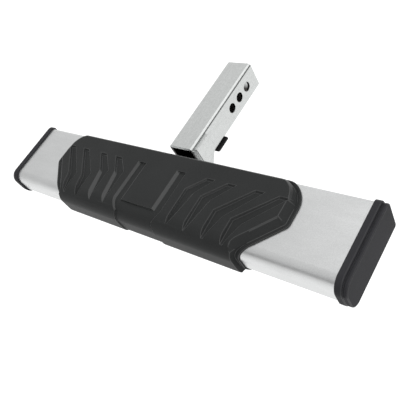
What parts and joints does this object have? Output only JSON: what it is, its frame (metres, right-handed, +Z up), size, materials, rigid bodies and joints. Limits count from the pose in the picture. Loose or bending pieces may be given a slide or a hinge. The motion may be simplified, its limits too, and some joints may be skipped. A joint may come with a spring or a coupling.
{
  "type": "hitch receiver step",
  "caption": "Step for a vehicle's towing receiver: a hollow aluminium board with a ribbed tread pad and end caps, on a square steel shank with cross holes for the pin.",
  "frame": {"origin": "centre of the middle pin hole, halfway across the shank", "axes": "+X along the board and the pin holes, to the right of someone facing the vehicle; +Y along the shank, into the vehicle's receiver; +Z up"},
  "size_m": [0.7198, 0.3473, 0.0941],
  "materials": {
    "board_aluminium": "satin, fine grained",
    "pad_plastic": "matte moulded",
    "cap_plastic": "matte moulded",
    "plated_steel": "silver plated",
    "fastener_steel": "plated",
    "black_paint": "satin black"
  },
  "bodies": {
    "root": {"step_board": "board_aluminium", "step_pad": "pad_plastic", "left_end_cap": "cap_plastic", "right_end_cap": "cap_plastic", "shank_tube": "plated_steel", "left_side_plate": "plated_steel", "right_side_plate": "plated_steel", "base_plate": "plated_steel", "base_welds": "plated_steel", "shank_welds": "plated_steel", "slot_bolts": "fastener_steel", "slot_nuts": "fastener_steel", "stop_rivets": "fastener_steel", "stop_bar": "black_paint"}
  },
  "joints": []
}
